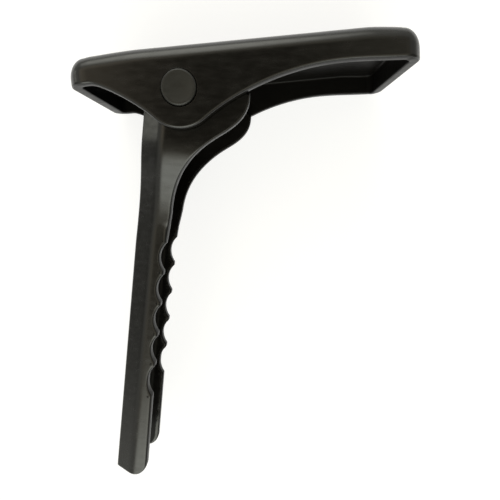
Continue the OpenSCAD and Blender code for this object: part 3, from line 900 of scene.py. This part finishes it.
def torsion_spring():
    """One round wire: a leg along the roof, the coil, a leg down the back of the grip lever."""
    ceiling = ROOF_H - WALL
    roof_leg_a = WIDE_TILT + math.asin((ceiling - LEG_GAP - WIRE_R - COIL_R) / ROOF_LEG)
    reach = back_at(-BACK_LEG) - WALL
    back_leg_a = math.radians(270) - GRIP_LEAN - math.asin((reach - LEG_GAP - WIRE_R - COIL_R) / BACK_LEG)
    start, end = roof_leg_a + math.pi / 2, back_leg_a - math.pi / 2 + 2 * math.pi * COIL_TURNS
    rise = COIL_PITCH * (end - start) / (2 * math.pi)
    low_z = MID_Z - rise / 2
    steps = math.ceil(32 * (end - start) / (2 * math.pi))
    coil = []
    for k in range(steps + 1):
        a = start + (end - start) * k / steps
        coil.append(np.array([COIL_R * math.cos(a), COIL_R * math.sin(a), low_z + rise * k / steps]))
    leg_in = np.array([math.cos(roof_leg_a), math.sin(roof_leg_a), 0])
    leg_out = np.array([math.cos(back_leg_a), math.sin(back_leg_a), 0])
    path = [coil[0] + leg_in * ROOF_LEG * k / 12 for k in range(12, 0, -1)] + coil
    path += [coil[-1] + leg_out * BACK_LEG * k / 10 for k in range(1, 11)]
    path = np.array(path)
    sides = 16
    points, faces = [], []
    tangents = np.gradient(path, axis=0)
    tangents /= np.linalg.norm(tangents, axis=1)[:, None]
    for p, t in zip(path, tangents):
        side = np.cross(t, (0, 0, 1))
        side /= np.linalg.norm(side)
        up = np.cross(side, t)
        for k in range(sides):
            a = 2 * math.pi * k / sides
            points.append(tuple(p + WIRE_R * (side * math.cos(a) + up * math.sin(a))))
    for n in range(len(path) - 1):
        for k in range(sides):
            m = (k + 1) % sides
            faces.append((n * sides + k, n * sides + m, (n + 1) * sides + m, (n + 1) * sides + k))
    faces.append(list(range(sides)))
    faces.append([(len(path) - 1) * sides + k for k in reversed(range(sides))])
    made = piece("torsion_spring_wire", points, faces, spring_wire, None)
    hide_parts("torsion_spring")
    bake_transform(made)


wide_lever()
grip_lever()
pivot_stack()
torsion_spring()


# ---- Floor, light ----

def floor():
    """A backlit white panel: its own glow leaves only a faint shadow under the clamp."""
    mesh = bpy.data.meshes.new("floor")
    half, z = 1.2, -0.0003
    corners = [(-half, -half, z), (half, -half, z), (half, half, z), (-half, half, z)]
    mesh.from_pydata(corners, [], [(0, 1, 2, 3)])
    material, tree = new_material("backlit_opal_acrylic")
    shader = add(tree, "ShaderNodeBsdfPrincipled", Base_Color=linear("#a0a0a0"), Roughness=0.9,
                 Emission_Color=linear("#ffffff"), Emission_Strength=0.74)
    add(tree, "ShaderNodeOutputMaterial", {"Surface": shader.outputs["BSDF"]})
    mesh.materials.append(material)
    made = bpy.data.objects.new("floor", mesh)
    bpy.context.scene.collection.objects.link(made)


def studio():
    """Soft light from all round: pale walls, soft glows and soft shades, each from its own direction."""
    world = bpy.data.worlds.new("studio")
    world.use_nodes = True
    tree = world.node_tree
    way = add(tree, "ShaderNodeTexCoord").outputs["Generated"]

    def patch(towards, inner, outer):
        """1 within `inner` degrees of a direction, easing to 0 at `outer`."""
        facing = add(tree, "ShaderNodeVectorMath", {0: way}, operation="DOT_PRODUCT")
        facing.inputs[1].default_value = Vector(towards).normalized()
        share = add(tree, "ShaderNodeMapRange", {"Value": facing.outputs["Value"]},
                    interpolation_type="SMOOTHSTEP")
        share.inputs["From Min"].default_value = math.cos(math.radians(outer))
        share.inputs["From Max"].default_value = math.cos(math.radians(inner))
        return share.outputs["Result"]

    light = add(tree, "ShaderNodeCombineXYZ", X=WALLS[0], Y=WALLS[1], Z=WALLS[2]).outputs["Vector"]
    for towards, inner, outer, colour in GLOWS:
        glow = add(tree, "ShaderNodeVectorMath", {1: patch(towards, inner, outer), 2: light},
                   operation="MULTIPLY_ADD")
        glow.inputs[0].default_value = colour
        light = glow.outputs["Vector"]
    for towards, inner, outer, left in SHADES:
        share = add(tree, "ShaderNodeMapRange", {"Value": patch(towards, inner, outer)},
                    To_Min=1.0, To_Max=left)
        shade = add(tree, "ShaderNodeVectorMath", {0: light, "Scale": share.outputs["Result"]},
                    operation="SCALE")
        light = shade.outputs["Vector"]
    tree.links.new(light, tree.nodes["Background"].inputs["Color"])
    bpy.context.scene.world = world


# Light of the walls, and of each glow and shade: direction, inner and outer angle in degrees, and a glow's
# light or the share that a shade leaves
WALLS = (0.66, 0.66, 0.6)
GLOWS = [
    ((0, 0, 1), 15, 55, (0.3, 0.22, 0.08)),
    ((-0.12, -1.3, 1), 17, 30, (2.7, 2.8, 2.55)),
    ((-0.42, 0.34, 0.9), 4, 18, (0.45, 0.34, 0.24)),
    ((-0.94, 0.24, 0.26), 4, 10, (1.5, 1.5, 1.3)),
    ((-0.2, 1, 0.5), 10, 26, (2.6, 2.6, 2.35)),
]
SHADES = [
    ((-0.05, 0.22, 1), 9, 26, 0.08),
    ((1, -0.3, 0.45), 20, 45, 0.35),
    ((-0.24, -0.2, 1), 4, 17, 0.35),
    ((-1, -0.12, 0.28), 8, 24, 0.4),
    ((0.42, 0.4, 0.86), 8, 20, 0.5),
]

floor()
studio()
bpy.context.scene.view_settings.view_transform = "Standard"
